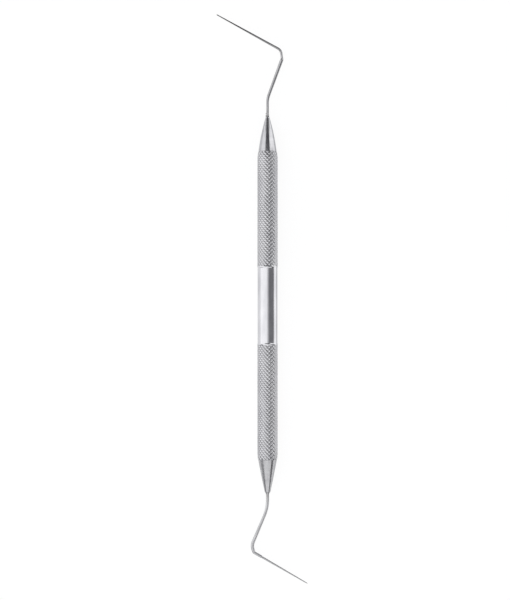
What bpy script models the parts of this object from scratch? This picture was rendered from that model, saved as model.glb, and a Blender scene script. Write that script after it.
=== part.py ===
"""Double-ended root-canal explorer, lying on its side.

A knurled steel tube is the handle. A turned nose is pressed into each end of it, and each nose
holds a bent wire working end, brazed in at the mouth. The handle's axis runs along Y, a handle
radius above the surface it lies on, and the origin is on that surface under its middle. Both
wires are bent in one level plane. End A points to +Y and end B to -Y.
"""

import math

import bpy
from mathutils import Vector

NAME = "dental_explorer"
MM = 0.001

# Handle tube: two knurled grips with a plain band between them, turned down at each end
HANDLE_DIAMETER = 6.0 * MM
HANDLE_LENGTH = 90.0 * MM
HANDLE_WALL = 0.9 * MM
BAND_LENGTH = 22.0 * MM
BAND_DEPTH = 0.1 * MM  # the band lies this far below the grips
BAND_BEVEL = 0.25 * MM
END_CHAMFER = 0.06 * MM
SPIGOT_CHAMFER = 0.25 * MM

# Fits
PRESS_CLEARANCE = 0.02 * MM  # radial, between a nose's spigot and the tube's bore
BRAZE_CLEARANCE = 0.05 * MM  # radial, between a wire's tang and its hole
RING_CLEARANCE = 0.03 * MM  # radial, between a braze ring and the wire in it
SEAM = 0.02 * MM  # between two faces that meet

# The wires' thickness in their noses
TANG_A = 0.80 * MM
TANG_B = 0.92 * MM
TANG_SHORT = 1.0 * MM  # a tang stops this far inside its spigot's end

# Each end. A leg of the wire is its length between two corners, the turn at its far corner, the
# radius of that turn, and the wire's diameter where the leg starts and where it stops. A step is
# a leg that ends with no turn. A positive turn goes to the end's own side.
END_A = {
    "tag": "a",
    "points_to": 1,
    "side": 1,
    "handle_shoulder": 2.5 * MM,
    "shoulder_drop": 0.27 * MM,
    "nose_length": 10.1 * MM,
    "nose_step": 0.08 * MM,
    "nose_bulge": 0.21 * MM,
    "mouth_wall": 0.11 * MM,
    "mouth_round": 0.06 * MM,
    "spigot_length": 7.0 * MM,
    "tang_diameter": TANG_A,
    "ring_height": 0.75 * MM,
    "legs": [
        (5.36 * MM, 20.1, 7.0 * MM, TANG_A, TANG_A),
        (12.34 * MM, -27.3, 1.2 * MM, 0.86 * MM, 0.98 * MM),
        (2.62 * MM, -53.9, 1.9 * MM, 0.74 * MM, 0.70 * MM),
        (21.50 * MM, 0.0, 0.0, 0.68 * MM, 0.27 * MM),
    ],
    "point_length": 0.50 * MM,
    "point_diameter": 0.05 * MM,
}
END_B = {
    "tag": "b",
    "points_to": -1,
    "side": -1,
    "handle_shoulder": 1.8 * MM,
    "shoulder_drop": 0.17 * MM,
    "nose_length": 9.7 * MM,
    "nose_step": 0.09 * MM,
    "nose_bulge": 0.03 * MM,
    "mouth_wall": 0.34 * MM,
    "mouth_round": 0.26 * MM,
    "spigot_length": 7.0 * MM,
    "tang_diameter": TANG_B,
    "ring_height": 0.40 * MM,
    "legs": [
        (4.57 * MM, 22.9, 12.0 * MM, TANG_B, TANG_B),
        (11.88 * MM, -41.0, 3.0 * MM, 0.86 * MM, 0.98 * MM),
        (2.13 * MM, -41.8, 0.7 * MM, 1.00 * MM, 0.90 * MM),
        (2.60 * MM, 0.0, 0.0, 0.84 * MM, 0.80 * MM),
        (15.47 * MM, 0.0, 0.0, 0.62 * MM, 0.26 * MM),
    ],
    "point_length": 0.55 * MM,
    "point_diameter": 0.07 * MM,
}

# How finely round shapes are divided. The handle and its noses have the same sides, so that their
# facets line up, and 2 more than a multiple of 4, so that the handle lies on a facet.
TURNED_SIDES = 30
RING_SIDES = 20
WIRE_RESOLUTION = 4
ARC_STEP = 9.0  # degrees between two points on a bend
STRAIGHT_STEP = 3.0 * MM  # longest stretch of wire without a point
STEP_BLEND = 0.15 * MM  # half the length over which a step changes the diameter


def clear_scene():
    for item in list(bpy.data.objects):
        bpy.data.objects.remove(item, do_unlink=True)


def new_collection(name):
    collection = bpy.data.collections.new(name)
    bpy.context.scene.collection.children.link(collection)
    return collection


def steel(name, color, roughness):
    """A bare metal: name, grey in linear RGB, and roughness."""
    material = bpy.data.materials.new(name)
    material.use_nodes = True
    shader = material.node_tree.nodes["Principled BSDF"]
    shader.inputs["Base Color"].default_value = (*color, 1.0)
    shader.inputs["Metallic"].default_value = 1.0
    shader.inputs["Roughness"].default_value = roughness
    material.diffuse_color = (*color, 1.0)
    return material


def add_object(name, data, collection, parent, place, material):
    item = bpy.data.objects.new(name, data)
    item.parent = parent
    item.location = place
    data.materials.append(material)
    collection.objects.link(item)
    return item


def turned(name, profile, sides, collection, parent, place, material):
    """A closed profile of (radius, height) pairs, outer side first and top to bottom, spun round Z."""
    mesh = bpy.data.meshes.new(name)
    count = len(profile)
    mesh.from_pydata(
        [(radius, 0.0, height) for radius, height in profile],
        [(i, (i + 1) % count) for i in range(count)],
        [],
    )
    item = add_object(name, mesh, collection, parent, place, material)
    spin = item.modifiers.new("Turn", "SCREW")
    spin.axis = "Z"
    spin.angle = math.tau
    spin.steps = sides
    spin.render_steps = sides
    spin.use_merge_vertices = True
    spin.merge_threshold = 0.001 * MM
    spin.use_smooth_shade = True
    return item


def arc_drop(reach, height, at):
    """How far an arc that is level at 0 and drops by height at reach has dropped at a distance."""
    radius = (reach * reach + height * height) / (2 * height)
    return radius - math.sqrt(radius * radius - at * at)


def end_frame(end, collection):
    """An empty on the handle's end: its Z runs out along the handle, and its X is the world's."""
    frame = bpy.data.objects.new(f"end_{end['tag']}_frame", None)
    frame.location = (0, end["points_to"] * HANDLE_LENGTH / 2, HANDLE_DIAMETER / 2)
    frame.rotation_euler = (-end["points_to"] * math.pi / 2, 0, 0)
    frame.empty_display_size = HANDLE_DIAMETER
    collection.objects.link(frame)
    return frame


def bore_radius():
    return HANDLE_DIAMETER / 2 - HANDLE_WALL


def hole_radius(end):
    """The hole through a nose, which its wire's tang is brazed into."""
    return end["tang_diameter"] / 2 + BRAZE_CLEARANCE


def mouth_radius(end):
    return hole_radius(end) + end["mouth_wall"]


def handle_shoulder(end, points=6):
    """(radius, distance from the handle's end) down one end of the tube, from the end inwards."""
    full = HANDLE_DIAMETER / 2
    drop = end["shoulder_drop"]
    reach = end["handle_shoulder"]
    rows = [(full - drop - END_CHAMFER, 0.0), (full - drop, END_CHAMFER)]
    for i in range(1, points):
        at = reach * (1 - i / points)
        rows.append((full - arc_drop(reach, drop, at), reach - at))
    rows.append((full, reach))
    return rows


def make_handle(collection, material):
    axis = bpy.data.objects.new("handle_frame", None)
    axis.location = (0, 0, HANDLE_DIAMETER / 2)
    axis.rotation_euler = (-math.pi / 2, 0, 0)
    collection.objects.link(axis)
    half = HANDLE_LENGTH / 2
    top = [(radius, half - down) for radius, down in handle_shoulder(END_A)]
    bottom = [(radius, down - half) for radius, down in reversed(handle_shoulder(END_B))]
    grip = HANDLE_DIAMETER / 2
    band = grip - BAND_DEPTH
    edge = BAND_LENGTH / 2
    waist = [
        (grip, edge + BAND_BEVEL),
        (band, edge),
        (band, -edge),
        (grip, -edge - BAND_BEVEL),
    ]
    bore = bore_radius()
    inside = [
        (bore + END_CHAMFER, -half),
        (bore, -half + END_CHAMFER),
        (bore, half - END_CHAMFER),
        (bore + END_CHAMFER, half),
    ]
    profile = top + waist + bottom + inside
    return turned("handle_tube", profile, TURNED_SIDES, collection, axis, (0, 0, 0), material)


def nose_side(end, points=8):
    """(radius, height) down a nose's outer side, from its rounded mouth to its base."""
    mouth = mouth_radius(end)
    base = HANDLE_DIAMETER / 2 - end["shoulder_drop"] - end["nose_step"]
    top = end["nose_length"]
    rounding = end["mouth_round"]
    rows = []
    for i in range(3):
        turn = i / 3 * math.pi / 2
        rows.append((mouth - rounding * (1 - math.sin(turn)), top - rounding * (1 - math.cos(turn))))
    for i in range(points + 1):
        along = i / points
        bulge = end["nose_bulge"] * 4 * along * (1 - along)
        height = (top - rounding) * (1 - along) + SEAM * along
        rows.append((mouth + (base - mouth) * along + bulge, height))
    return rows


def make_nose(end, collection, frame, material):
    """A turned nose: its cone stands on the tube's end face and its spigot fills the tube's bore."""
    hole = hole_radius(end)
    spigot = bore_radius() - PRESS_CLEARANCE
    foot = -end["spigot_length"]
    profile = nose_side(end) + [
        (spigot, SEAM),
        (spigot, foot + SPIGOT_CHAMFER),
        (spigot - SPIGOT_CHAMFER, foot),
        (hole, foot),
        (hole, end["nose_length"]),
    ]
    name = f"nose_cone_{end['tag']}"
    return turned(name, profile, TURNED_SIDES, collection, frame, (0, 0, 0), material)


def make_braze_ring(end, collection, frame, material, points=5):
    """A fillet of braze that stands on the nose's mouth and hollows in towards the wire."""
    inner = end["tang_diameter"] / 2 + RING_CLEARANCE
    outer = mouth_radius(end) - end["mouth_round"]
    lip = inner + RING_CLEARANCE
    height = end["ring_height"]
    profile = []
    for i in range(points + 1):
        turn = (1 - i / points) * math.pi / 2
        profile.append((outer - (outer - lip) * math.sin(turn), height * (1 - math.cos(turn))))
    profile += [(inner, 0.0), (inner, height)]
    place = (0, 0, end["nose_length"] + SEAM)
    name = f"braze_ring_{end['tag']}"
    return turned(name, profile, RING_SIDES, collection, frame, place, material)


def corner_cut(legs, number, point_length):
    """How much of a leg its far corner takes: half a step, the bend's tangent, or the point."""
    _, turn, radius, _, _ = legs[number]
    if number == len(legs) - 1:
        return point_length
    if not turn:
        return STEP_BLEND
    return radius * math.tan(math.radians(abs(turn)) / 2)


def bend_points(start, heading, angle, radius, before, after):
    """Points inside a bend, as (place, diameter), while the diameter goes from before to after."""
    centre = start + radius * math.copysign(1, angle) * Vector((math.cos(heading), 0, -math.sin(heading)))
    steps = max(2, math.ceil(math.degrees(abs(angle)) / ARC_STEP))
    points = []
    for i in range(1, steps):
        now = heading + angle * i / steps
        inwards = math.copysign(radius, angle) * Vector((math.cos(now), 0, -math.sin(now)))
        points.append((centre - inwards, before + (after - before) * i / steps))
    return points


def wire_route(end):
    """Points of a wire as (place, diameter), from its tang's end to its point.

    The mouth of the nose is at 0, Z runs out of it, and the wire bends in the XZ plane.
    """
    legs = end["legs"]
    tang = end["nose_length"] + end["spigot_length"] - TANG_SHORT
    route = [(Vector((0, 0, -tang)), end["tang_diameter"])]
    corner = Vector((0, 0, 0))
    heading = 0.0
    taken = 0.0
    for number, (length, turn, radius, start, stop) in enumerate(legs):
        way = Vector((math.sin(heading), 0, math.cos(heading)))
        cut = corner_cut(legs, number, end["point_length"])
        first = corner + way * taken
        corner = corner + way * length
        finish = corner - way * cut
        pieces = math.ceil((finish - first).length / STRAIGHT_STEP)
        for i in range(pieces + 1):
            share = i / pieces
            route.append((first.lerp(finish, share), start + (stop - start) * share))
        if turn:
            angle = math.radians(turn) * end["side"]
            route += bend_points(finish, heading, angle, radius, stop, legs[number + 1][3])
            heading += angle
        taken = cut
    for share in (0.5, 0.85, 1.0):
        width = end["point_diameter"] + (stop - end["point_diameter"]) * math.sqrt(1 - share * share)
        route.append((finish.lerp(corner, share), width))
    return route


def make_working_end(end, collection, frame, material):
    """One ground wire: tang, shank, two bends and the long straight tip."""
    route = wire_route(end)
    curve = bpy.data.curves.new(f"working_end_{end['tag']}", "CURVE")
    curve.dimensions = "3D"
    curve.bevel_depth = end["tang_diameter"] / 2
    curve.bevel_resolution = WIRE_RESOLUTION
    curve.use_fill_caps = True
    spline = curve.splines.new("POLY")
    spline.points.add(len(route) - 1)
    for point, (place, width) in zip(spline.points, route):
        point.co = (*place, 1.0)
        point.radius = width / end["tang_diameter"]
    place = (0, 0, end["nose_length"])
    return add_object(curve.name, curve, collection, frame, place, material)


def main():
    clear_scene()
    collection = new_collection(NAME)
    knurled = steel("knurled_steel", (0.50, 0.50, 0.52), 0.38)
    polished = steel("polished_steel", (0.62, 0.62, 0.64), 0.18)
    satin = steel("satin_steel", (0.60, 0.60, 0.62), 0.34)
    hardened = steel("hardened_wire_steel", (0.46, 0.46, 0.48), 0.24)
    braze = steel("braze_metal", (0.30, 0.29, 0.28), 0.45)
    make_handle(collection, knurled)
    for end, turned_steel in ((END_A, polished), (END_B, satin)):
        frame = end_frame(end, collection)
        make_nose(end, collection, frame, turned_steel)
        make_braze_ring(end, collection, frame, braze)
        make_working_end(end, collection, frame, hardened)


main()
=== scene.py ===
import math

import bmesh
import bpy
import numpy as np
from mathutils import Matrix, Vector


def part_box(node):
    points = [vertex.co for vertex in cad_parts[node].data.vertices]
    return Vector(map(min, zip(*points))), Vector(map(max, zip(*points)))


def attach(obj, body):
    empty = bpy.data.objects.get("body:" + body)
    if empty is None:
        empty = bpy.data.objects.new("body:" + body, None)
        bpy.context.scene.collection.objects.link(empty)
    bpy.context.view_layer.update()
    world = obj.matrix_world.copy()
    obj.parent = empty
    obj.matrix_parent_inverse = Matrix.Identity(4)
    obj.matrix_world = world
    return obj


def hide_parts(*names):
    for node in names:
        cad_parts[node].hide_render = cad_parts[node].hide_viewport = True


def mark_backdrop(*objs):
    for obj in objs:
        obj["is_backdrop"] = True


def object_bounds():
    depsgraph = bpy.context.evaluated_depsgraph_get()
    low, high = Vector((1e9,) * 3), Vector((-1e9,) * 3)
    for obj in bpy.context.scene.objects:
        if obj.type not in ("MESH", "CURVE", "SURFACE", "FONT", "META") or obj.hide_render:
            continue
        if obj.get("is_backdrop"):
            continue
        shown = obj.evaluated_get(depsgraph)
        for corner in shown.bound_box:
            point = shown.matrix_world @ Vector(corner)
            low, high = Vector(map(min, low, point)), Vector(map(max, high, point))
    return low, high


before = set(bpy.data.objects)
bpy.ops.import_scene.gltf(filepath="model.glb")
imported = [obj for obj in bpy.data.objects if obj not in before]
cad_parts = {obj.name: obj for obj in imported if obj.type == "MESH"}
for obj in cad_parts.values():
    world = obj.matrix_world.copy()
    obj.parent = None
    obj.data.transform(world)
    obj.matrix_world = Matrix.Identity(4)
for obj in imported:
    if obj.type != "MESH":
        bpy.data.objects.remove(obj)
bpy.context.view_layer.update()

# A double-ended root-canal explorer lying on a light table. Its handle runs along Y, with end A
# towards +Y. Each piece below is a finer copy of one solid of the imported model, in the same place.

mm = 0.001
weldDistance = 0.0005 * mm  # points closer than this are one point
handleLow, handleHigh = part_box("handle_tube")
axisHeight = (handleLow.z + handleHigh.z) / 2
handleEnd = {1: handleHigh.y, -1: handleLow.y}  # by the way each end points along Y
print("frame loaded:", len(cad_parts), "nodes")


def linearColour(hexText):
    parts = [int(hexText[i:i + 2], 16) / 255 for i in (1, 3, 5)]
    return [p / 12.92 if p <= 0.04045 else ((p + 0.055) / 1.055) ** 2.4 for p in parts] + [1.0]


def plugIn(tree, node, values):
    # values by socket name or number, or simply in order: numbers, colours, nodes or their outputs
    for socket, value in values.items() if isinstance(values, dict) else enumerate(values):
        if isinstance(value, bpy.types.Node):
            value = value.outputs[0]
        if isinstance(value, bpy.types.NodeSocket):
            tree.links.new(value, node.inputs[socket])
        else:
            node.inputs[socket].default_value = value


def addNode(tree, kind, values=(), stops=(), **settings):
    # stops: (place, colour) along a colour ramp
    node = tree.nodes.new(kind)
    for name, value in settings.items():
        setattr(node, name, value)
    if stops:
        elements = node.color_ramp.elements
        while len(elements) < len(stops):
            elements.new(0.5)
        for element, (place, colour) in zip(elements, stops):
            element.position = place
            element.color = linearColour(colour)
    plugIn(tree, node, values)
    return node


def meshObject(name, points, faces, material):
    mesh = bpy.data.meshes.new(name)
    mesh.from_pydata([tuple(p) for p in points], [], faces)
    mesh.update()
    mesh.materials.append(material)
    item = bpy.data.objects.new(name, mesh)
    bpy.context.scene.collection.objects.link(item)
    return item


def shadeSmooth(item, creaseAngle):
    item.data.polygons.foreach_set("use_smooth", [True] * len(item.data.polygons))
    item.data.set_sharp_from_angle(angle=math.radians(creaseAngle))


def closeAndSmooth(item, creaseAngle):
    # one closed skin with its faces outwards, smooth but for its real edges
    work = bmesh.new()
    work.from_mesh(item.data)
    bmesh.ops.remove_doubles(work, verts=work.verts, dist=weldDistance)
    bmesh.ops.recalc_face_normals(work, faces=work.faces)
    work.to_mesh(item.data)
    work.free()
    shadeSmooth(item, creaseAngle)
    return item


def turnedGrid(rows, sides):
    # rows of (radius, y) in metres, each spun round the handle's axis
    rows = np.array(rows)
    around = np.arange(sides) * math.tau / sides
    x = rows[:, :1] * np.sin(around)
    y = np.repeat(rows[:, 1:2], sides, axis=1)
    z = axisHeight + rows[:, :1] * np.cos(around)
    return np.stack([x, y, z], axis=-1).reshape(-1, 3)


def turnedFaces(rowCount, sides):
    # four-sided faces between the rows, and from the last row back to the first
    faces = []
    for i in range(rowCount):
        below = (i + 1) % rowCount * sides
        for j in range(sides):
            beside = (j + 1) % sides
            faces.append((i * sides + j, below + j, below + beside, i * sides + beside))
    return faces


def newMaterial(name):
    # with its node tree and its shader
    material = bpy.data.materials.new(name)
    material.use_nodes = True
    tree = material.node_tree
    return material, tree, tree.nodes["Principled BSDF"]


noiseLow, noiseHigh = 0.3, 0.7  # nearly all of a noise pattern's values lie between these
crispLow, crispHigh = 0.35, 0.65  # a narrower span, for more contrast
noiseRoughness = 0.55


def layPatterns(tree, place, patterns):
    # each pattern is cloudy noise with a grain size in mm across, along and up, and its detail
    found = {}
    for name, (sizes, detail) in patterns.items():
        scaled = addNode(tree, "ShaderNodeMapping", {
            "Vector": place, "Scale": [1 / (size * mm) for size in sizes]})
        found[name] = addNode(tree, "ShaderNodeTexNoise", {
            "Vector": scaled, "Scale": 1.0, "Detail": detail, "Roughness": noiseRoughness})
    return found


# a Mix node's socket 0 is its factor, 6 and 7 are its two colours, and output 2 is their mixture
multiplied = {"data_type": "RGBA", "blend_type": "MULTIPLY"}
blended = {"data_type": "RGBA", "blend_type": "MIX"}

knurledLook = {
    # the tones darken from crest to groove with the cut's depth: painted shade in the grooves
    "crest": "#ededee", "flank": "#e0e0e1", "grooveShade": "#767677", "flankAt": 0.55,
    "handled": "#e4e4e6", "untouched": "#ffffff",
    "roughCrest": 0.18, "roughGroove": 0.42, "roughPatch": (-0.04, 0.06),
    "grainHeight": 0.004, "grainStrength": 0.6, "feedHeight": 0.004, "feedStrength": 0.5,
    "patterns": {
        "patches": ((3.8, 11.0, 3.8), 2.0),  # where fingers have and haven't been
        "feed": ((33.0, 0.30, 33.0), 3.0),  # the band's turning marks, really 0.08 mm: coarser to show
        "grain": ((0.07, 0.07, 0.07), 3.0),  # left by the knurling wheels
    },
}


def knurledSteel():
    # Stainless tube, cold-rolled between two knurling wheels and bright-dipped. The crests are
    # burnished by the wheels and by fingers; the grooves stay dull, and their tone is darkened as painted
    # shade.
    look = knurledLook
    material, tree, shader = newMaterial("rolledKnurlSteel")
    place = addNode(tree, "ShaderNodeTexCoord").outputs["Object"]
    found = layPatterns(tree, place, look["patterns"])
    cut = addNode(tree, "ShaderNodeAttribute", attribute_name="cutDepth").outputs["Fac"]
    # painted shade: the colour darkens with the cut's depth, into the grooves
    tone = addNode(tree, "ShaderNodeValToRGB", [cut], [
        (0.0, look["crest"]), (look["flankAt"], look["flank"]), (1.0, look["grooveShade"])])
    worn = addNode(tree, "ShaderNodeValToRGB", [found["patches"]], [
        (noiseLow, look["handled"]), (noiseHigh, look["untouched"])])
    tone = addNode(tree, "ShaderNodeMix", {0: 1.0, 6: tone, 7: worn}, **multiplied)
    cutRough = addNode(tree, "ShaderNodeMapRange", (cut, 0.0, 1.0, look["roughCrest"], look["roughGroove"]))
    patchRough = addNode(tree, "ShaderNodeMapRange", (
        found["patches"], noiseLow, noiseHigh, *look["roughPatch"]))
    grain = addNode(tree, "ShaderNodeBump", {
        "Height": found["grain"], "Distance": look["grainHeight"] * mm, "Strength": look["grainStrength"]})
    feed = addNode(tree, "ShaderNodeBump", {
        "Height": found["feed"], "Distance": look["feedHeight"] * mm, "Strength": look["feedStrength"],
        "Normal": grain})
    plugIn(tree, shader, {
        "Base Color": tone.outputs[2], "Metallic": 1.0, "Normal": feed,
        "Roughness": addNode(tree, "ShaderNodeMath", (cutRough, patchRough), operation="ADD")})
    return material


polishedLook = {
    "light": "#d4d4d5", "dark": "#c7c7c9", "roughLow": 0.12, "roughHigh": 0.20, "markHeight": 0.0018}
satinLook = {
    "light": "#cfcfcf", "dark": "#c1c1c2", "roughLow": 0.20, "roughHigh": 0.32, "markHeight": 0.0032}
turnedFinish = {
    "buffed": "#dedee0", "unbuffed": "#ffffff", "buffing": 0.55, "buffingStrength": 0.35,
    "ringStrength": 0.8, "roughPatch": (-0.03, 0.04),
    "patterns": {
        "rings": ((16.0, 0.24, 16.0), 3.0),  # feed marks, really about 0.1 mm apart: coarser to show
        "bands": ((25.0, 1.4, 25.0), 1.0),  # where the tool's pressure changed
        "buffing": ((0.33, 8.3, 0.33), 2.0),  # lines left by the wheel, also coarser to show
        "patches": ((3.3, 6.2, 3.3), 2.0),  # more and less polished
    },
}


def turnedSteel(name, look):
    # Free-cutting stainless bar, turned on a lathe and then buffed: fine rings round the axis,
    # crossed by faint lengthwise buffing lines.
    material, tree, shader = newMaterial(name)
    place = addNode(tree, "ShaderNodeTexCoord").outputs["Object"]
    found = layPatterns(tree, place, turnedFinish["patterns"])
    tone = addNode(tree, "ShaderNodeValToRGB", [found["bands"]], [
        (noiseLow, look["dark"]), (noiseHigh, look["light"])])
    streaks = addNode(tree, "ShaderNodeValToRGB", [found["buffing"]], [
        (crispLow, turnedFinish["buffed"]), (crispHigh, turnedFinish["unbuffed"])])
    tone = addNode(tree, "ShaderNodeMix", {0: turnedFinish["buffing"], 6: tone, 7: streaks}, **multiplied)
    ringRough = addNode(tree, "ShaderNodeMapRange", (
        found["rings"], noiseLow, noiseHigh, look["roughLow"], look["roughHigh"]))
    patchRough = addNode(tree, "ShaderNodeMapRange", (
        found["patches"], noiseLow, noiseHigh, *turnedFinish["roughPatch"]))
    rings = addNode(tree, "ShaderNodeBump", {
        "Height": found["rings"], "Distance": look["markHeight"] * mm,
        "Strength": turnedFinish["ringStrength"]})
    buffing = addNode(tree, "ShaderNodeBump", {
        "Height": found["buffing"], "Distance": look["markHeight"] * mm,
        "Strength": turnedFinish["buffingStrength"], "Normal": rings})
    plugIn(tree, shader, {
        "Base Color": tone.outputs[2], "Metallic": 1.0, "Normal": buffing,
        "Roughness": addNode(tree, "ShaderNodeMath", (ringRough, patchRough), operation="ADD")})
    return material


wireLooks = {
    # tip: painted shade, the colour the shank's tone is multiplied by at the point, easing in between
    # two places, in mm out of the nose
    "a": {"light": "#c9c9c9", "dark": "#b1b1b2", "tip": "#797979", "tipShadeFrom": 18.0, "tipShadeTo": 34.0,
          "roughLow": 0.15, "roughHigh": 0.25},
    "b": {"light": "#dedede", "dark": "#cecece", "tip": "#dedede", "tipShadeFrom": 20.0, "tipShadeTo": 36.0,
          "roughLow": 0.34, "roughHigh": 0.48},
}
wireFinish = {
    "lapped": "#d9d9db", "unlapped": "#ffffff", "lapping": 0.5, "patchSpan": (0.32, 0.68),
    "markHeight": 0.0020, "ringStrength": 0.6, "lappingStrength": 0.5,
    "patterns": {
        "rings": ((2.5, 0.22, 2.5), 2.0),  # grinding marks, really 0.05 mm apart: coarser to show
        "lapping": ((0.11, 2.0, 0.11), 2.0),  # lines left by the cloth, also coarser to show
        "patches": ((1.25, 2.9, 1.25), 2.0),  # more and less bright
    },
}
heatTint = {
    "straw": "#ddd5c6", "amount": 0.2, "rougher": 0.08,
    "from": 0.6, "to": 3.2,  # mm out of the nose
}


def groundWireSteel(tag):
    # Hardened and tempered stainless wire, ground between wheels and drawn through a lapping
    # cloth: tight rings round it, and longer lapping lines along it. Brazing leaves it faintly
    # straw-coloured for the first millimetres out of the nose.
    look = wireLooks[tag]
    material, tree, shader = newMaterial("groundWireSteel" + tag.upper())
    strand = addNode(tree, "ShaderNodeAttribute", attribute_name="strand").outputs["Vector"]
    along = addNode(tree, "ShaderNodeSeparateXYZ", [strand]).outputs["Y"]
    found = layPatterns(tree, strand, wireFinish["patterns"])
    dullest, brightest = wireFinish["patchSpan"]
    tone = addNode(tree, "ShaderNodeValToRGB", [found["patches"]], [
        (dullest, look["dark"]), (brightest, look["light"])])
    lines = addNode(tree, "ShaderNodeValToRGB", [found["lapping"]], [
        (crispLow, wireFinish["lapped"]), (crispHigh, wireFinish["unlapped"])])
    tone = addNode(tree, "ShaderNodeMix", {0: wireFinish["lapping"], 6: tone, 7: lines}, **multiplied)
    # painted shade: the wire darkens towards its point
    tipShaded = addNode(tree, "ShaderNodeMapRange", (
        along, look["tipShadeFrom"] * mm, look["tipShadeTo"] * mm, 0.0, 1.0))
    tone = addNode(tree, "ShaderNodeMix", {
        0: tipShaded, 6: tone.outputs[2], 7: linearColour(look["tip"])}, **multiplied)
    heated = addNode(tree, "ShaderNodeMapRange", (
        along, heatTint["from"] * mm, heatTint["to"] * mm, 1.0, 0.0))
    tint = addNode(tree, "ShaderNodeMath", (heated, heatTint["amount"]), operation="MULTIPLY")
    tone = addNode(tree, "ShaderNodeMix", {
        0: tint, 6: tone.outputs[2], 7: linearColour(heatTint["straw"])}, **multiplied)
    ringRough = addNode(tree, "ShaderNodeMapRange", (
        found["rings"], noiseLow, noiseHigh, look["roughLow"], look["roughHigh"]))
    heatRough = addNode(tree, "ShaderNodeMath", (heated, heatTint["rougher"]), operation="MULTIPLY")
    rings = addNode(tree, "ShaderNodeBump", {
        "Height": found["rings"], "Distance": wireFinish["markHeight"] * mm,
        "Strength": wireFinish["ringStrength"]})
    lapping = addNode(tree, "ShaderNodeBump", {
        "Height": found["lapping"], "Distance": wireFinish["markHeight"] * mm,
        "Strength": wireFinish["lappingStrength"], "Normal": rings})
    plugIn(tree, shader, {
        "Base Color": tone.outputs[2], "Metallic": 1.0, "Normal": lapping,
        "Roughness": addNode(tree, "ShaderNodeMath", (ringRough, heatRough), operation="ADD")})
    return material


brazeLooks = {
    "a": {"bright": "#cacaca", "dull": "#a9a9aa", "lump": "#262627", "rough": (0.34, 0.58)},  # scorched
    "b": {"bright": "#c5c5c5", "dull": "#aaaaaa", "lump": "#9a9a9a", "rough": (0.30, 0.48)},  # cleaned up
}
brazeFinish = {
    "pitDepth": 0.03, "pitStrength": 0.8,
    "patterns": {"blotches": ((0.38, 0.38, 0.38), 3.0), "pits": ((0.11, 0.11, 0.11), 4.0)},
}


def silverBraze(tag):
    # Silver brazing alloy, melted round the wire and left as it froze: rippled, pitted, and
    # dulled by the last of the flux.
    look = brazeLooks[tag]
    material, tree, shader = newMaterial("silverBraze" + tag.upper())
    place = addNode(tree, "ShaderNodeTexCoord").outputs["Object"]
    found = layPatterns(tree, place, brazeFinish["patterns"])
    tone = addNode(tree, "ShaderNodeValToRGB", [found["blotches"]], [
        (crispLow, look["dull"]), (crispHigh, look["bright"])])
    lump = addNode(tree, "ShaderNodeAttribute", attribute_name="lump").outputs["Fac"]
    tone = addNode(tree, "ShaderNodeMix", {0: lump, 6: tone, 7: linearColour(look["lump"])}, **blended)
    plugIn(tree, shader, {
        "Base Color": tone.outputs[2], "Metallic": 1.0,
        "Roughness": addNode(tree, "ShaderNodeMapRange", (
            found["pits"], noiseLow, noiseHigh, *look["rough"])),
        "Normal": addNode(tree, "ShaderNodeBump", {
            "Height": found["pits"], "Distance": brazeFinish["pitDepth"] * mm,
            "Strength": brazeFinish["pitStrength"]})})
    return material


steelKnurled = knurledSteel()
steelPolished = turnedSteel("buffedTurnedSteel", polishedLook)
steelSatin = turnedSteel("satinTurnedSteel", satinLook)
steelWires = {tag: groundWireSteel(tag) for tag in wireLooks}
brazes = {tag: silverBraze(tag) for tag in brazeLooks}
print("materials made")

handle = {
    "diameter": 6.0, "bore": 4.2, "bandLength": 22.0, "bandDepth": 0.10, "bandBevel": 0.25,
    "endChamfer": 0.06, "boreChamfer": 0.06, "crease": 50,
    "shoulders": {1: (2.5, 0.27), -1: (1.8, 0.17)},  # reach and drop at each end
    "bandEase": (0.04, 0.03, 0.012),  # the bevel's foot: its reach outwards and inwards, its height
    "bandStep": 1.0, "boreInset": 3.0, "boreRows": 12,  # rows along the plain stretches
}
knurl = {
    "starts": 15,  # grooves round the handle in each of the two hands, really about 17
    "pitch": 1.15,  # mm along the handle between crests, really about 1.0: coarser to show
    "depth": 0.19, "crestFlat": 0.12, "runOut": 0.45, "wear": 0.22, "patchSize": 3.125, "seed": 4,
    "steps": 8,  # rows and columns to a crest
    "rowGap": 0.02,  # from the end's chamfer to the first of them
}


def arcDrop(reach, drop, at):
    radius = (reach * reach + drop * drop) / (2 * drop)
    return radius - math.sqrt(radius * radius - at * at)


def gripRadius(y):
    # y in mm from the handle's middle
    end = 1 if y > 0 else -1
    reach, drop = handle["shoulders"][end]
    inside = handleEnd[end] / mm * end - abs(y)
    return handle["diameter"] / 2 - (arcDrop(reach, drop, reach - inside) if inside < reach else 0)


def eased(share):
    share = min(1.0, max(0.0, share))
    return share * share * (3 - 2 * share)


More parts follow.
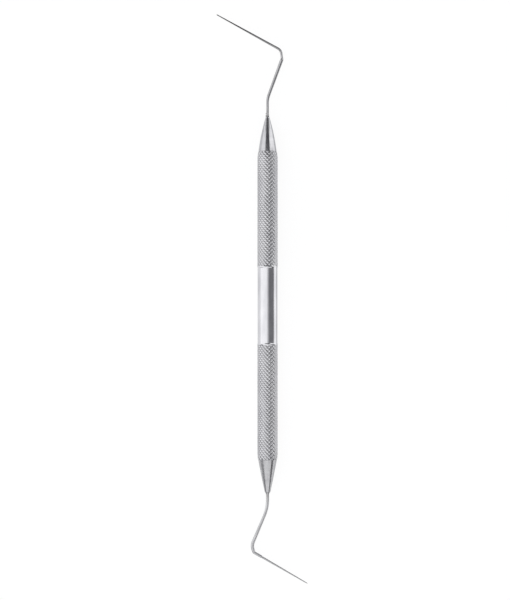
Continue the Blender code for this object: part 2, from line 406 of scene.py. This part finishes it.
def handleRows():
    # (radius, y, grip) in mm from the bore's +Y mouth over the outside and back through the bore;
    # grip says how much of the knurl's depth a row takes
    half = (handleEnd[1] - handleEnd[-1]) / 2 / mm
    step = knurl["pitch"] / knurl["steps"]
    bandEdge = handle["bandLength"] / 2
    bevelEdge = bandEdge + handle["bandBevel"]
    chamfer = handle["endChamfer"]
    bore = handle["bore"] / 2
    band = handle["diameter"] / 2 - handle["bandDepth"]
    outside, inside, lift = handle["bandEase"]
    bandStep = handle["bandStep"]
    grip = [half - chamfer]
    firstRow = int((half - chamfer - knurl["rowGap"]) / step)
    grip += [k * step for k in range(firstRow, int(bevelEdge / step), -1)]
    grip.append(bevelEdge)
    rows = []
    for end in (1, -1):
        drop = handle["shoulders"][end][1]
        stretch = [(handle["diameter"] / 2 - drop - chamfer, end * half, 1.0)]
        stretch += [(gripRadius(end * y), end * y, eased((y - bevelEdge) / knurl["runOut"])) for y in grip]
        stretch += [(band + lift, end * (bandEdge + outside), 0.0), (band, end * (bandEdge - inside), 0.0)]
        stretch += [(band, end * y, 0.0) for y in np.arange(bandEdge - bandStep, bandStep / 2, -bandStep)]
        rows += stretch if end == 1 else stretch[::-1]
    rows += [(bore + handle["boreChamfer"], -half, 0.0), (bore, -half + handle["boreChamfer"], 0.0)]
    deepest = half - handle["boreInset"]
    rows += [(bore, y, 0.0) for y in np.linspace(-deepest, deepest, handle["boreRows"])]
    rows += [(bore, half - handle["boreChamfer"], 0.0), (bore + handle["boreChamfer"], half, 0.0)]
    return rows


def handleBlank():
    rows = handleRows()
    steps = knurl["steps"]
    step = knurl["pitch"] / steps
    sides = knurl["starts"] * steps
    faces = turnedFaces(len(rows), sides)

    def fromGroove(phase):
        return abs(phase / steps % 1.0 - 0.5)

    # a four-sided face in the grip starts at the corner that puts its fold along the nearer groove
    for number, face in enumerate(faces):
        i, j = divmod(number, sides)
        if rows[i][2] and rows[(i + 1) % len(rows)][2]:
            along = (rows[i][1] + rows[i + 1][1]) / 2 / step
            if fromGroove(j + 0.5 + along) >= fromGroove(j + 0.5 - along):
                faces[number] = face[1:] + face[:1]
    points = turnedGrid([(radius * mm, y * mm) for radius, y, _ in rows], sides)
    item = meshObject("knurled_handle", points, faces, steelKnurled)
    mask = item.data.attributes.new("grip", "FLOAT", "POINT")
    mask.data.foreach_set("value", np.repeat([row[2] for row in rows], sides).astype(np.float32))
    return item


def knurlTree():
    # presses two crossing sets of V grooves into the blank, and notes how deep each point went
    tree = bpy.data.node_groups.new("rolledDiamondKnurl", "GeometryNodeTree")
    sockets = tree.interface
    sockets.new_socket("Geometry", in_out="INPUT", socket_type="NodeSocketGeometry")
    for name, kind in (("Starts", "Int"), ("Pitch", "Float"), ("Depth", "Float"),
                       ("Crest Flat", "Float"), ("Wear", "Float"), ("Patch Size", "Float"),
                       ("Seed", "Float"), ("Axis Height", "Float"), ("Steel", "Material")):
        sockets.new_socket(name, in_out="INPUT", socket_type="NodeSocket" + kind)
    sockets.new_socket("Geometry", in_out="OUTPUT", socket_type="NodeSocketGeometry")
    given = addNode(tree, "NodeGroupInput").outputs
    position = addNode(tree, "GeometryNodeInputPosition")
    place = addNode(tree, "ShaderNodeSeparateXYZ", [position]).outputs
    sums = "ShaderNodeMath"
    up = addNode(tree, sums, (place["Z"], given["Axis Height"]), operation="SUBTRACT")
    angle = addNode(tree, sums, (place["X"], up), operation="ARCTAN2")
    turns = addNode(tree, sums, (angle, math.tau), operation="DIVIDE")
    around = addNode(tree, sums, (turns, given["Starts"]), operation="MULTIPLY")
    along = addNode(tree, sums, (place["Y"], given["Pitch"]), operation="DIVIDE")
    flank = addNode(tree, sums, (1.0, given["Crest Flat"]), operation="SUBTRACT")
    cuts = []
    for hand in ("ADD", "SUBTRACT"):
        phase = addNode(tree, sums, (around, along), operation=hand)
        share = addNode(tree, sums, [phase], operation="FRACT")
        offset = addNode(tree, sums, (share, 0.5), operation="SUBTRACT")
        apart = addNode(tree, sums, [offset], operation="ABSOLUTE")
        rise = addNode(tree, sums, (apart, 2.0), operation="MULTIPLY")
        slope = addNode(tree, sums, (rise, flank), operation="DIVIDE")
        held = addNode(tree, sums, (slope, 1.0), operation="MINIMUM")
        cuts.append(addNode(tree, sums, (1.0, held), operation="SUBTRACT"))
    cut = addNode(tree, sums, cuts, operation="MAXIMUM")
    patchScale = addNode(tree, sums, (1.0, given["Patch Size"]), operation="DIVIDE")
    patches = addNode(tree, "ShaderNodeTexNoise", {
        "W": given["Seed"], "Scale": patchScale, "Detail": 2.0}, noise_dimensions="4D")
    lost = addNode(tree, sums, (patches, given["Wear"]), operation="MULTIPLY")
    left = addNode(tree, sums, (1.0, lost), operation="SUBTRACT")
    grip = addNode(tree, "GeometryNodeInputNamedAttribute", {"Name": "grip"}, data_type="FLOAT")
    cut = addNode(tree, sums, (cut, left), operation="MULTIPLY")
    cut = addNode(tree, sums, (cut, grip), operation="MULTIPLY")
    depth = addNode(tree, sums, (cut, given["Depth"]), operation="MULTIPLY")
    inwards = addNode(tree, sums, (depth, -1.0), operation="MULTIPLY")
    spoke = addNode(tree, "ShaderNodeCombineXYZ", {"X": place["X"], "Z": up})
    spoke = addNode(tree, "ShaderNodeVectorMath", [spoke], operation="NORMALIZE")
    push = addNode(tree, "ShaderNodeVectorMath", {0: spoke, "Scale": inwards}, operation="SCALE")
    pressed = addNode(tree, "GeometryNodeSetPosition", {"Geometry": given["Geometry"], "Offset": push})
    marked = addNode(tree, "GeometryNodeStoreNamedAttribute", {
        "Geometry": pressed, "Name": "cutDepth", "Value": cut}, data_type="FLOAT", domain="POINT")
    whole = addNode(tree, "GeometryNodeRealizeInstances", [marked])
    coated = addNode(tree, "GeometryNodeSetMaterial", {"Geometry": whole, "Material": given["Steel"]})
    addNode(tree, "NodeGroupOutput", [coated])
    return tree


def applyNodes(item, tree, values):
    # sets the tree's named inputs, takes the evaluated mesh and drops the modifier
    modifier = item.modifiers.new(tree.name, "NODES")
    modifier.node_group = tree
    for socket in tree.interface.items_tree:
        if socket.item_type == "SOCKET" and socket.in_out == "INPUT" and socket.name in values:
            modifier[socket.identifier] = values[socket.name]
    bpy.context.view_layer.update()
    graph = bpy.context.evaluated_depsgraph_get()
    mesh = bpy.data.meshes.new_from_object(item.evaluated_get(graph))
    item.modifiers.remove(modifier)
    item.data = mesh
    mesh.name = item.name
    return item


knurledHandle = applyNodes(handleBlank(), knurlTree(), {
    "Starts": knurl["starts"], "Pitch": knurl["pitch"] * mm, "Depth": knurl["depth"] * mm,
    "Crest Flat": knurl["crestFlat"], "Wear": knurl["wear"], "Patch Size": knurl["patchSize"] * mm,
    "Seed": float(knurl["seed"]), "Axis Height": axisHeight, "Steel": steelKnurled,
})
shadeSmooth(knurledHandle, handle["crease"])
print("handle:", len(knurledHandle.data.polygons), "faces")

noses = {
    "a": {"end": 1, "baseRadius": 2.65, "mouthRadius": 0.56, "holeRadius": 0.45, "bulge": 0.21,
          "mouthRound": 0.06, "baseChamfer": 0.04, "spigotRadius": 2.08, "steel": steelPolished},
    "b": {"end": -1, "baseRadius": 2.74, "mouthRadius": 0.85, "holeRadius": 0.51, "bulge": 0.03,
          "mouthRound": 0.26, "baseChamfer": 0.05, "spigotRadius": 2.08, "steel": steelSatin},
}
noseDetail = {
    "sides": 128, "rows": 28, "roundRows": 7, "crease": 28,
    "seam": 0.02,  # between the handle's end and the cone's foot
    "spigotChamfer": 0.25, "holeChamfer": 0.03,
}


def turnedNose(tag):
    nose = noses[tag]
    end = nose["end"]
    start = handleEnd[end] / mm * end
    heights = [corner.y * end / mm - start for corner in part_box("nose_cone_" + tag)]
    mouth, foot = max(heights), min(heights)  # heights above the handle's end face
    rounding = nose["mouthRound"]
    chamfer = nose["baseChamfer"]
    seam = noseDetail["seam"]
    rows = []
    for i in range(noseDetail["roundRows"]):
        turn = i / noseDetail["roundRows"] * math.pi / 2
        rows.append((nose["mouthRadius"] - rounding * (1 - math.sin(turn)),
                     mouth - rounding * (1 - math.cos(turn))))
    for i in range(noseDetail["rows"] + 1):
        along = i / noseDetail["rows"]
        radius = nose["mouthRadius"] + (nose["baseRadius"] - nose["mouthRadius"]) * along
        radius += nose["bulge"] * 4 * along * (1 - along)
        rows.append((radius, (mouth - rounding) * (1 - along) + (seam + chamfer) * along))
    spigot = nose["spigotRadius"]
    hole = nose["holeRadius"]
    rows += [(nose["baseRadius"] - chamfer, seam), (spigot, seam)]
    rows += [(spigot, foot + noseDetail["spigotChamfer"]), (spigot - noseDetail["spigotChamfer"], foot)]
    rows += [(hole, foot), (hole, mouth - noseDetail["holeChamfer"])]
    rows += [(hole + noseDetail["holeChamfer"], mouth)]
    points = turnedGrid([(radius * mm, (start + height) * end * mm) for radius, height in rows],
                        noseDetail["sides"])
    faces = turnedFaces(len(rows), noseDetail["sides"])
    item = meshObject("turned_nose_" + tag, points, faces, nose["steel"])
    return closeAndSmooth(item, noseDetail["crease"])


turnedNoses = {tag: turnedNose(tag) for tag in noses}
print("noses made")

wires = {
    # legs: length, turn at the far corner, its radius, diameter at the start and at the end;
    # shoulders: by leg, the part of its bend over which the wire is reduced
    "a": {
        "end": 1, "side": 1, "tang": 0.80, "pointLength": 0.50, "pointDiameter": 0.05,
        "legs": [
            (5.36, 20.1, 7.0, 0.80, 0.80),
            (12.34, -27.3, 1.2, 0.86, 0.98),
            (2.62, -53.9, 1.9, 0.74, 0.70),
            (21.50, 0.0, 0.0, 0.68, 0.27),
        ],
        "shoulders": {1: (0.05, 0.80)},
    },
    "b": {
        "end": -1, "side": -1, "tang": 0.92, "pointLength": 0.55, "pointDiameter": 0.07,
        "legs": [
            (4.57, 22.9, 12.0, 0.92, 0.92),
            (11.88, -41.0, 3.0, 0.86, 0.98),
            (2.13, -41.8, 0.7, 1.00, 0.90),
            (2.60, 0.0, 0.0, 0.84, 0.80),
            (15.47, 0.0, 0.0, 0.62, 0.26),
        ],
        "shoulders": {},
    },
}
wireDetail = {
    "sides": 28, "crease": 40,
    "bendStep": 2.0, "fewestInBend": 4,  # degrees between rings, and the fewest steps in a bend
    "straightStep": 0.35, "fewestInLeg": 2,  # mm between rings, and the fewest steps in a leg
    "shortest": 0.004,  # rings closer than this are dropped
    "stepBlend": 0.15,  # half the length over which a straight wire steps down
    "stepShares": (0.25, 0.4, 0.5, 0.6, 0.75),  # rings over that length
    "stepFrom": 0.2, "stepSpan": 0.6,  # the part of it that slopes
    "pointShares": (0.25, 0.5, 0.7, 0.85, 0.95, 1.0),  # rings round the point
    "tipReach": 0.02,  # from the last ring to the very point
}


def wireLine(wire, tangLength):
    # (sideways, outwards, diameter) in mm from the nose's mouth, from the tang's end to the point
    legs = wire["legs"]
    line = [(0.0, -tangLength, wire["tang"])]
    corner = np.zeros(2)
    heading = taken = 0.0
    for number, (length, turn, radius, start, stop) in enumerate(legs):
        way = np.array([math.sin(heading), math.cos(heading)])
        last = number == len(legs) - 1
        if last:
            cut = wire["pointLength"]
        else:
            cut = radius * math.tan(math.radians(abs(turn)) / 2) if turn else wireDetail["stepBlend"]
        first = corner + way * taken
        corner = corner + way * length
        finish = corner - way * cut
        steps = math.ceil(np.linalg.norm(finish - first) / wireDetail["straightStep"])
        steps = max(wireDetail["fewestInLeg"], steps)
        for share in np.arange(steps + 1) / steps:
            line.append((*(first + (finish - first) * share), start + (stop - start) * share))
        growth = 0.0 if last else legs[number + 1][3] - stop
        if turn:
            angle = math.radians(turn) * wire["side"]
            bend = math.copysign(radius, angle)
            centre = finish + bend * np.array([math.cos(heading), -math.sin(heading)])
            steps = max(wireDetail["fewestInBend"], math.ceil(abs(turn) / wireDetail["bendStep"]))
            begin, end = wire["shoulders"].get(number, (0.0, 1.0))
            for share in np.arange(1, steps) / steps:
                now = heading + angle * share
                place = centre - bend * np.array([math.cos(now), -math.sin(now)])
                line.append((*place, stop + growth * eased((share - begin) / (end - begin))))
            heading += angle
        elif not last:
            for share in wireDetail["stepShares"]:
                stepped = eased((share - wireDetail["stepFrom"]) / wireDetail["stepSpan"])
                line.append((*(finish + way * 2 * cut * share), stop + growth * stepped))
        taken = cut
    for share in wireDetail["pointShares"]:
        width = wire["pointDiameter"] + (stop - wire["pointDiameter"]) * math.sqrt(1 - share * share)
        line.append((*(finish + (corner - finish) * share), width))
    line = np.array(line)
    gaps = np.linalg.norm(np.diff(line[:, :2], axis=0), axis=1)
    return line[np.r_[True, gaps > wireDetail["shortest"]]]


def sweptWire(tag):
    wire = wires[tag]
    end = wire["end"]
    noseLow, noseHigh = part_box("nose_cone_" + tag)
    wireLow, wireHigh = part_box("working_end_" + tag)
    mouth = noseHigh.y if end == 1 else noseLow.y
    tangLength = abs(mouth - (wireLow.y if end == 1 else wireHigh.y)) / mm
    line = wireLine(wire, tangLength)
    centre = np.stack([line[:, 0], mouth / mm + end * line[:, 1]], axis=1)
    ahead = np.gradient(centre, axis=0)
    ahead /= np.linalg.norm(ahead, axis=1, keepdims=True)
    across = np.stack([ahead[:, 1], -ahead[:, 0]], axis=1)
    travelled = np.r_[0, np.cumsum(np.linalg.norm(np.diff(centre, axis=0), axis=1))]
    travelled -= tangLength  # 0 where the wire leaves the nose
    sides = wireDetail["sides"]
    points, strand = [], []
    for place, side, width, far in zip(centre, across, line[:, 2], travelled):
        for turn in np.arange(sides) * math.tau / sides:
            reach = width / 2 * math.cos(turn)
            rise = width / 2 * math.sin(turn)
            points.append((*(place + side * reach) * mm, axisHeight + rise * mm))
            strand.append((reach * mm, far * mm, rise * mm))
    lastRing = (len(centre) - 1) * sides
    tip = len(points)
    points.append((*(centre[-1] + ahead[-1] * wireDetail["tipReach"]) * mm, axisHeight))
    strand.append((0.0, (travelled[-1] + wireDetail["tipReach"]) * mm, 0.0))
    faces = turnedFaces(len(centre), sides)[:lastRing] + [tuple(range(sides))]
    faces += [(lastRing + j, lastRing + (j + 1) % sides, tip) for j in range(sides)]
    item = meshObject("bent_wire_" + tag, points, faces, steelWires[tag])
    unrolled = item.data.attributes.new("strand", "FLOAT_VECTOR", "POINT")
    unrolled.data.foreach_set("vector", np.array(strand, dtype=np.float32).ravel())
    return closeAndSmooth(item, wireDetail["crease"])


bentWires = {tag: sweptWire(tag) for tag in wires}
print("wires made")

beads = {
    # lumps: turn from the top towards +X in degrees, height above the mouth, reach and size
    "a": {
        "end": 1, "inner": 0.405, "foot": 0.50, "height": 1.12, "film": 0.018, "waviness": 0.014,
        "lumps": [
            (-66, 0.27, 0.15, 0.16), (-82, 0.92, 0.14, 0.14),
            (30, 0.06, 0.10, 0.17), (150, 0.35, 0.08, 0.18),
        ],
    },
    "b": {
        "end": -1, "inner": 0.465, "foot": 0.62, "height": 0.55, "film": 0.020, "waviness": 0.012,
        "lumps": [(60, 0.20, 0.06, 0.18), (-110, 0.15, 0.05, 0.15)],
    },
}
beadDetail = {
    "sides": 48, "rows": 22, "crease": 60, "raggedTop": 0.10, "lumpBlur": 0.7,
    "ripple": (3, 1.1),  # waves round the wire, and their phase
    "fineRipple": (5, 9, 0.6),  # waves round it, their twist up the bead, and their share of a ripple
    "footFall": 3, "topFall": 6,  # powers by which the foot spreads and the film thins at its top
}


def brazeBead(tag):
    # a thin film of braze up the wire, thickest at the nose's mouth, with a few frozen drops
    bead = beads[tag]
    end = bead["end"]
    low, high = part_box("braze_ring_" + tag)
    mouth = low.y if end == 1 else high.y
    sides, rows = beadDetail["sides"], beadDetail["rows"]
    turns = np.arange(sides) * math.tau / sides
    waves, phase = beadDetail["ripple"]
    fineWaves, twist, fineShare = beadDetail["fineRipple"]
    points, lumpy = [], []  # points are (radius, height, turn)
    for share in np.arange(rows + 1) / rows:
        for turn in turns:
            ripple = math.sin(waves * turn + phase) + fineShare * math.sin(fineWaves * turn + twist * share)
            up = bead["height"] * (1 + beadDetail["raggedTop"] * ripple) * share
            fillet = (bead["foot"] - bead["inner"] - bead["film"]) * (1 - share) ** beadDetail["footFall"]
            radius = bead["inner"] + bead["film"] * (1 - share ** beadDetail["topFall"]) + fillet
            radius += bead["waviness"] * ripple * share * (1 - share) * 2
            here = 0.0
            for degrees, at, reach, size in bead["lumps"]:
                apart = (turn - math.radians(degrees) + math.pi) % math.tau - math.pi
                near = math.hypot(apart * bead["inner"], up - at) / size
                radius += reach * math.exp(-near * near)
                here = max(here, math.exp(-beadDetail["lumpBlur"] * near * near))
            points.append((radius, up, turn))
            lumpy.append(here)
    points += [(bead["inner"], up, turn) for _, up, turn in points[-sides:]]  # back down along the wire
    points += [(bead["inner"], 0.0, turn) for turn in turns]
    places = []
    for radius, up, turn in points:
        across, rise = radius * math.sin(turn) * mm, radius * math.cos(turn) * mm
        places.append((across, mouth + end * up * mm, axisHeight + rise))
    item = meshObject("braze_bead_" + tag, places, turnedFaces(rows + 3, sides), brazes[tag])
    lump = item.data.attributes.new("lump", "FLOAT", "POINT")
    lump.data.foreach_set("value", np.array(lumpy + [0.0] * (2 * sides), dtype=np.float32))
    return closeAndSmooth(item, beadDetail["crease"])


brazeBeads = {tag: brazeBead(tag) for tag in beads}
print("braze made")

studio = {
    "reach": 3.0,  # of the table, in metres
    "table": "#fefefe", "tableTone": "#6f6f6f", "tableCloud": "#6b6b6b", "tableGlow": 0.90,
    "tableRough": 0.8, "tableGloss": 0.1, "tableSides": 96,
    "grainDepth": 0.02, "grainStrength": 0.3,
    "tablePatterns": {"grain": ((0.56, 0.56, 0.56), 2.0), "cloud": ((167.0, 167.0, 167.0), 2.0)},
    "backdrop": "#fdfdfd", "backdropSides": 64, "backdropRows": 12,
    "backdropTop": 0.999, "backdropReach": 0.995,  # shares of a quarter turn and of the table's reach
    "backdropSink": 0.01,  # metres that its foot goes below the table
    "roomLight": 1.45, "daylight": 0.3,
    "daylightSpread": 60, "daylightTilt": 6,  # degrees
}


def tableTop():
    # Opal acrylic sheet of a light table, sand-blasted and lit from below, which leaves next to
    # no shadow round a small object.
    material, tree, shader = newMaterial("opalAcrylic")
    place = addNode(tree, "ShaderNodeTexCoord").outputs["Object"]
    found = layPatterns(tree, place, studio["tablePatterns"])
    plugIn(tree, shader, {
        "Base Color": addNode(tree, "ShaderNodeValToRGB", [found["cloud"]], [
            (noiseLow, studio["tableCloud"]), (noiseHigh, studio["tableTone"])]),
        "Roughness": studio["tableRough"], "Specular IOR Level": studio["tableGloss"],
        "Emission Color": linearColour(studio["table"]), "Emission Strength": studio["tableGlow"],
        "Normal": addNode(tree, "ShaderNodeBump", {
            "Height": found["grain"], "Distance": studio["grainDepth"] * mm,
            "Strength": studio["grainStrength"]})})
    sides = studio["tableSides"]
    points = [(0.0, 0.0, 0.0)]
    for turn in np.arange(sides) * math.tau / sides:
        points.append((studio["reach"] * math.cos(turn), studio["reach"] * math.sin(turn), 0.0))
    faces = [(0, k + 1, (k + 1) % sides + 1) for k in range(sides)]
    item = meshObject("table_top", points, faces, material)
    item.visible_glossy = False
    return item


def paleBackdrop():
    # paper dome that only the camera sees, standing just inside the table's edge
    material = bpy.data.materials.new("paperBackdrop")
    material.use_nodes = True
    tree = material.node_tree
    tree.nodes.remove(tree.nodes["Principled BSDF"])
    glow = addNode(tree, "ShaderNodeEmission", {"Color": linearColour(studio["backdrop"]), "Strength": 1.0})
    plugIn(tree, tree.nodes["Material Output"], {"Surface": glow})
    sides, rows = studio["backdropSides"], studio["backdropRows"]
    points = []
    for lift in np.arange(rows + 1) / rows * math.pi / 2 * studio["backdropTop"]:
        reach = studio["reach"] * studio["backdropReach"] * math.cos(lift)
        height = studio["reach"] * math.sin(lift) - studio["backdropSink"]
        for turn in np.arange(sides) * math.tau / sides:
            points.append((reach * math.cos(turn), reach * math.sin(turn), height))
    item = meshObject("paper_backdrop", points, turnedFaces(rows + 1, sides)[:rows * sides], material)
    for kind in ("diffuse", "glossy", "transmission", "shadow", "volume_scatter"):
        setattr(item, "visible_" + kind, False)
    return item


walls = [
    # tones of the room by degrees across the handle, where 0 is overhead and 90 is level on the
    # +X side; from: between which two leans along Y (as sines) they take over from the ones before
    {"tones": [(-180, "#c0c0c2"), (-95, "#d0d0d2"), (-80, "#f0f0f2"), (-10, "#e4e4e6"), (10, "#949497"),
               (22, "#666669"), (74, "#666669"), (88, "#e4e4e6"), (108, "#e8e8ea"), (118, "#b9b9bb")]},
    {"from": (0.20, 0.32),
     "tones": [(-180, "#bcbcbe"), (-97, "#c4c4c6"), (-88, "#e9e9eb"), (-36, "#e9e9eb"), (-25, "#4b4b4e"),
               (25, "#4b4b4e"), (36, "#fbfbfc"), (106, "#f4f4f6"), (116, "#a8a8aa"), (180, "#9e9ea0")]},
    {"from": (0.46, 0.54),
     "tones": [(-180, "#b4b4b6"), (-76, "#b4b4b6"), (-58, "#565658"), (58, "#565658"), (76, "#b4b4b6")]},
    {"from": (-0.25, -0.33),
     "tones": [(-180, "#c0c0c2"), (-112, "#c8c8ca"), (-100, "#78787b"), (-62, "#67676a"), (-54, "#d8d8da"),
               (48, "#dcdcde"), (54, "#39393c"), (77, "#39393c"), (85, "#d4d4d6"), (112, "#cccccd"),
               (180, "#bcbcbe")]},
]


def softRoom():
    # White walls and ceiling with darker openings: one over the +X side of the plain band, one
    # overhead along the handle towards end A, which then widens, and one low on each side towards
    # end B.
    world = bpy.data.worlds.new("softRoom")
    bpy.context.scene.world = world
    world.use_nodes = True
    tree = world.node_tree
    way = addNode(tree, "ShaderNodeTexCoord").outputs["Generated"]  # in a world, the way looked
    axes = addNode(tree, "ShaderNodeSeparateXYZ", [way]).outputs
    lean = addNode(tree, "ShaderNodeMath", (axes["X"], axes["Z"]), operation="ARCTAN2")
    share = addNode(tree, "ShaderNodeMapRange", (lean, -math.pi, math.pi, 0.0, 1.0))
    colour = None
    for wall in walls:
        tones = addNode(tree, "ShaderNodeValToRGB", [share], [
            ((degrees + 180) / 360, tone) for degrees, tone in wall["tones"]]).outputs[0]
        if colour:
            over = addNode(tree, "ShaderNodeMapRange", (axes["Y"], *wall["from"], 0.0, 1.0))
            tones = addNode(tree, "ShaderNodeMix", {0: over, 6: colour, 7: tones}, **blended).outputs[2]
        colour = tones
    plugIn(tree, tree.nodes["Background"], {"Color": colour, "Strength": studio["roomLight"]})


def daylight():
    # fills the table evenly; the steel takes its light from the room alone
    light = bpy.data.lights.new("daylight", "SUN")
    light.energy = studio["daylight"]
    light.angle = math.radians(studio["daylightSpread"])
    item = bpy.data.objects.new("daylight", light)
    bpy.context.scene.collection.objects.link(item)
    item.rotation_euler = (math.radians(studio["daylightTilt"]), -math.radians(studio["daylightTilt"]), 0)
    item.visible_glossy = False


lens = {
    "length": 120.0, "sensor": 36.0, "frame": (510, 600),
    "perMm": 3.42, "across": 262.0, "down": 299.0,  # the scale, and where the object's middle falls
    "nearest": 0.01, "farthest": 20.0,  # metres
}


def camera():
    # looks straight down, far enough up for the frame's height to take in the whole instrument
    data = bpy.data.cameras.new("camera")
    data.lens = lens["length"]
    data.sensor_width = lens["sensor"]
    data.clip_start = lens["nearest"]
    data.clip_end = lens["farthest"]
    item = bpy.data.objects.new("camera", data)
    bpy.context.scene.collection.objects.link(item)
    low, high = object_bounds()
    wide, tall = lens["frame"]
    perMetre = lens["perMm"] / mm
    item.location = (
        (low.x + high.x) / 2 + (wide / 2 - lens["across"]) / perMetre,
        (low.y + high.y) / 2 - (tall / 2 - lens["down"]) / perMetre,
        axisHeight + tall / perMetre * lens["length"] / lens["sensor"],
    )
    bpy.context.scene.camera = item


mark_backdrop(tableTop(), paleBackdrop())
softRoom()
daylight()
camera()
bpy.context.scene.view_settings.view_transform = "Standard"
print("studio made")

pieces = [
    (knurledHandle, "handle_tube", "knurled_steel"),
    (turnedNoses["a"], "nose_cone_a", "polished_steel"),
    (turnedNoses["b"], "nose_cone_b", "satin_steel"),
    (bentWires["a"], "working_end_a", "hardened_wire"),
    (bentWires["b"], "working_end_b", "hardened_wire"),
    (brazeBeads["a"], "braze_ring_a", "braze"),
    (brazeBeads["b"], "braze_ring_b", "braze"),
]
for piece, node, finish in pieces:
    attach(piece, "root")
    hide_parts(node)
print(len(pieces), "pieces placed")
